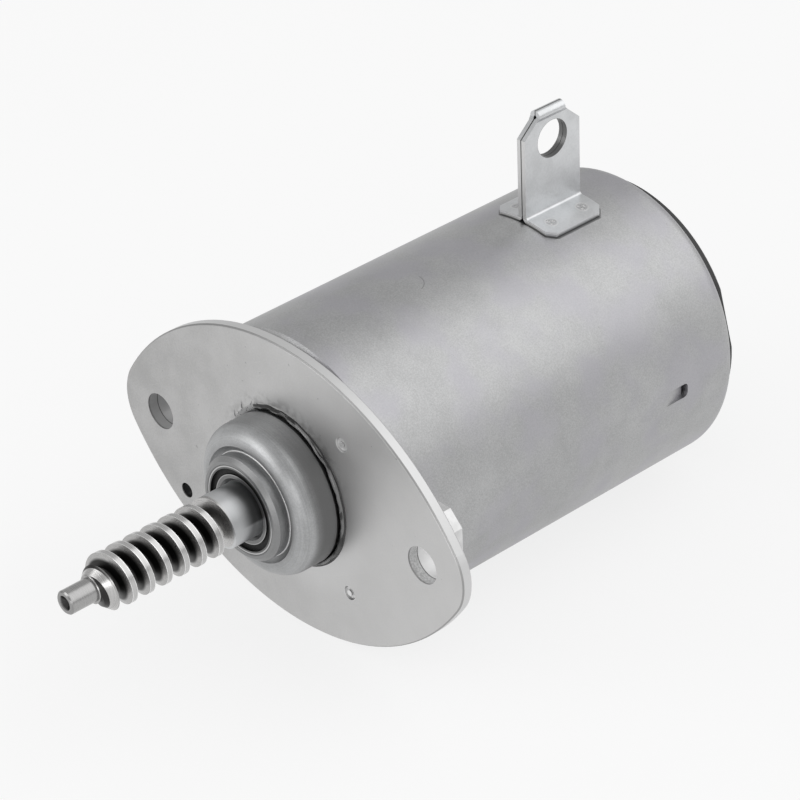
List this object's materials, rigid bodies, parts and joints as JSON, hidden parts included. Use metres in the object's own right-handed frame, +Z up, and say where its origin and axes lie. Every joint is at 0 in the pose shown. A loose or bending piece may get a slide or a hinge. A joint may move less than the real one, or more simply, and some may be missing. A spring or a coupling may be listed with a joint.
{
  "type": "variable valve lift actuator",
  "caption": "Cylindrical worm-drive electric motor with an oval two-hole flange, a bright worm shaft, a folded support bracket and a rear plug socket.",
  "frame": {"origin": "on the shaft axis, in the front face of the mounting flange, midway between its two bolt holes", "axes": "+Y along the shaft from the worm to the rear cap, +X across the flange's ears, +Z up through the support bracket"},
  "size_m": [0.0964, 0.1595, 0.0848],
  "materials": {
    "plated_steel": "satin plated sheet with fine scratches",
    "block_steel": "bright plated",
    "can_steel": "fine blasted, satin",
    "bracket_steel": "satin plated sheet",
    "housing_steel": "turned, half polished",
    "sealant": "glossy black",
    "bearing_steel": "ground",
    "ball_steel": "polished",
    "cage_steel": "plain",
    "seal_rubber": "matt black",
    "worm_steel": "machined, bright crests",
    "spring_steel": "plain",
    "lamination_steel": "varnished stack",
    "insulator": "fibre board",
    "enamelled_copper": "enamelled",
    "bare_copper": "turned",
    "washer_steel": "ground",
    "ferrite": "ground grey-black",
    "moulding": "moulded dark grey",
    "carbon": "pressed graphite",
    "tinned_brass": "tinned",
    "cap_plastic": "moulded black",
    "bronze": "sintered, oiled"
  },
  "bodies": {
    "stator": {"mounting_flange": "plated_steel", "ear_block_right": "block_steel", "ear_block_left": "block_steel", "motor_can": "can_steel", "front_bearing_housing": "housing_steel", "sealant_bead": "sealant", "bearing_outer_ring": "bearing_steel", "bearing_seal_front": "seal_rubber", "bearing_seal_rear": "seal_rubber", "pole_magnet_right": "ferrite", "pole_magnet_left": "ferrite", "brush_carrier": "moulding", "brush_spring_upper": "spring_steel", "brush_spring_lower": "spring_steel", "power_terminal_right": "tinned_brass", "power_terminal_left": "tinned_brass", "rear_cap": "cap_plastic", "cap_seal_ring": "seal_rubber", "rear_bearing_bush": "bronze", "support_bracket": "bracket_steel"},
    "rotor": {"worm_shaft": "worm_steel", "bearing_inner_ring": "bearing_steel", "retaining_ring": "spring_steel", "armature_core": "lamination_steel", "armature_end_plate_front": "insulator", "armature_end_plate_rear": "insulator", "armature_windings": "enamelled_copper", "commutator_hub": "moulding", "commutator_bars": "bare_copper", "thrust_washer": "washer_steel"},
    "ball_cage": {"bearing_cage": "cage_steel", "bearing_balls": "ball_steel"},
    "brush_upper": {"carbon_brush_upper": "carbon"},
    "brush_lower": {"carbon_brush_lower": "carbon"}
  },
  "joints": [
    {"name": "rotor_spin", "type": "hinge", "parent": "stator", "child": "rotor", "pos_m": [0, 0, 0], "axis": [0, 1, 0], "continuous": true},
    {"name": "cage_spin", "type": "hinge", "parent": "stator", "child": "ball_cage", "pos_m": [0, -0.0091, 0], "axis": [0, 1, 0], "continuous": true},
    {"name": "brush_upper_slide", "type": "slide", "parent": "stator", "child": "brush_upper", "axis": [0, 0, 1], "range_m": [0, 0.0015], "stiffness_N_per_m": 300, "springref_m": -0.005, "deforming": ["brush_spring_upper"]},
    {"name": "brush_lower_slide", "type": "slide", "parent": "stator", "child": "brush_lower", "axis": [0, 0, -1], "range_m": [0, 0.0015], "stiffness_N_per_m": 300, "springref_m": -0.005, "deforming": ["brush_spring_lower"]}
  ],
  "couplings": [
    {"joint": "cage_spin", "follows": "rotor_spin", "ratio": 0.43949}
  ]
}
